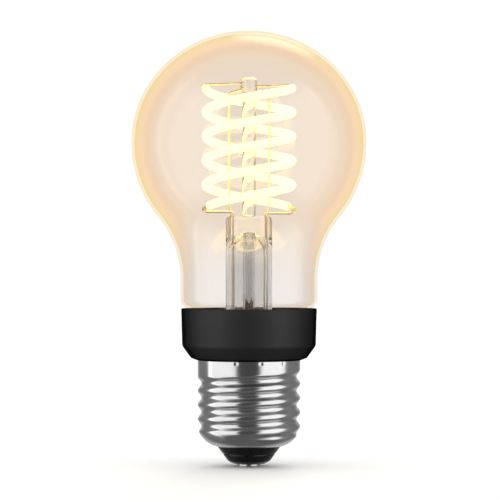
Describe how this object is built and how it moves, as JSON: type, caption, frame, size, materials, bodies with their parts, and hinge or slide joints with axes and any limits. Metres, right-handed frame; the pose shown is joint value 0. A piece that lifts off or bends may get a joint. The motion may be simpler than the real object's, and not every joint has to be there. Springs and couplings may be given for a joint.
{
  "type": "smart filament light bulb",
  "caption": "Pear-shaped glass lamp with coiled glowing filaments on a glass stem, a dark collar that holds driver and radio, and a screw cap.",
  "frame": {"origin": "middle of the centre contact's lower face, where the lamp seats in its holder", "axes": "+Z along the lamp's axis from the cap to the top of the glass, -Y the front"},
  "size_m": [0.06, 0.06, 0.111],
  "materials": {
    "amber_glass": "clear, warm tint",
    "clear_glass": "clear",
    "phosphor": "glowing silicone",
    "golden_wire": "bright",
    "terminal_steel": "satin",
    "black_plastic": "satin",
    "cement": "matt",
    "nickel_plate": "polished",
    "black_insulator": "gloss",
    "solder": "satin",
    "tinned_steel": "satin",
    "cable_red": "matt",
    "cable_blue": "matt",
    "board_laminate": "satin",
    "capacitor_sleeve": "satin",
    "black_epoxy": "matt",
    "ferrite": "matt",
    "copper": "bright",
    "fuse_green": "satin",
    "film_yellow": "satin"
  },
  "bodies": {
    "root": {"glass_envelope": "amber_glass", "glass_stem": "clear_glass", "exhaust_tube": "clear_glass", "support_rod": "clear_glass", "lead_wire_left": "golden_wire", "lead_wire_right": "golden_wire", "riser_wire_left": "golden_wire", "riser_wire_right": "golden_wire", "top_wire_left": "golden_wire", "top_wire_right": "golden_wire", "filament_a": "phosphor", "filament_b": "phosphor", "terminal_a_upper": "terminal_steel", "terminal_a_lower": "terminal_steel", "terminal_b_upper": "terminal_steel", "terminal_b_lower": "terminal_steel", "collar_housing": "black_plastic", "neck_cement": "cement", "screw_shell": "nickel_plate", "cap_insulator": "black_insulator", "centre_contact": "solder", "live_wire": "cable_red", "neutral_wire": "cable_blue", "driver_board": "board_laminate", "bulk_capacitor": "capacitor_sleeve", "bridge_rectifier": "black_epoxy", "driver_chip": "black_epoxy", "inductor_core": "ferrite", "inductor_winding": "copper", "fuse_resistor": "fuse_green", "film_capacitor": "film_yellow", "radio_board": "board_laminate", "pin_header": "black_epoxy", "radio_chip": "black_epoxy", "radio_shield": "tinned_steel", "antenna": "copper"}
  },
  "joints": []
}
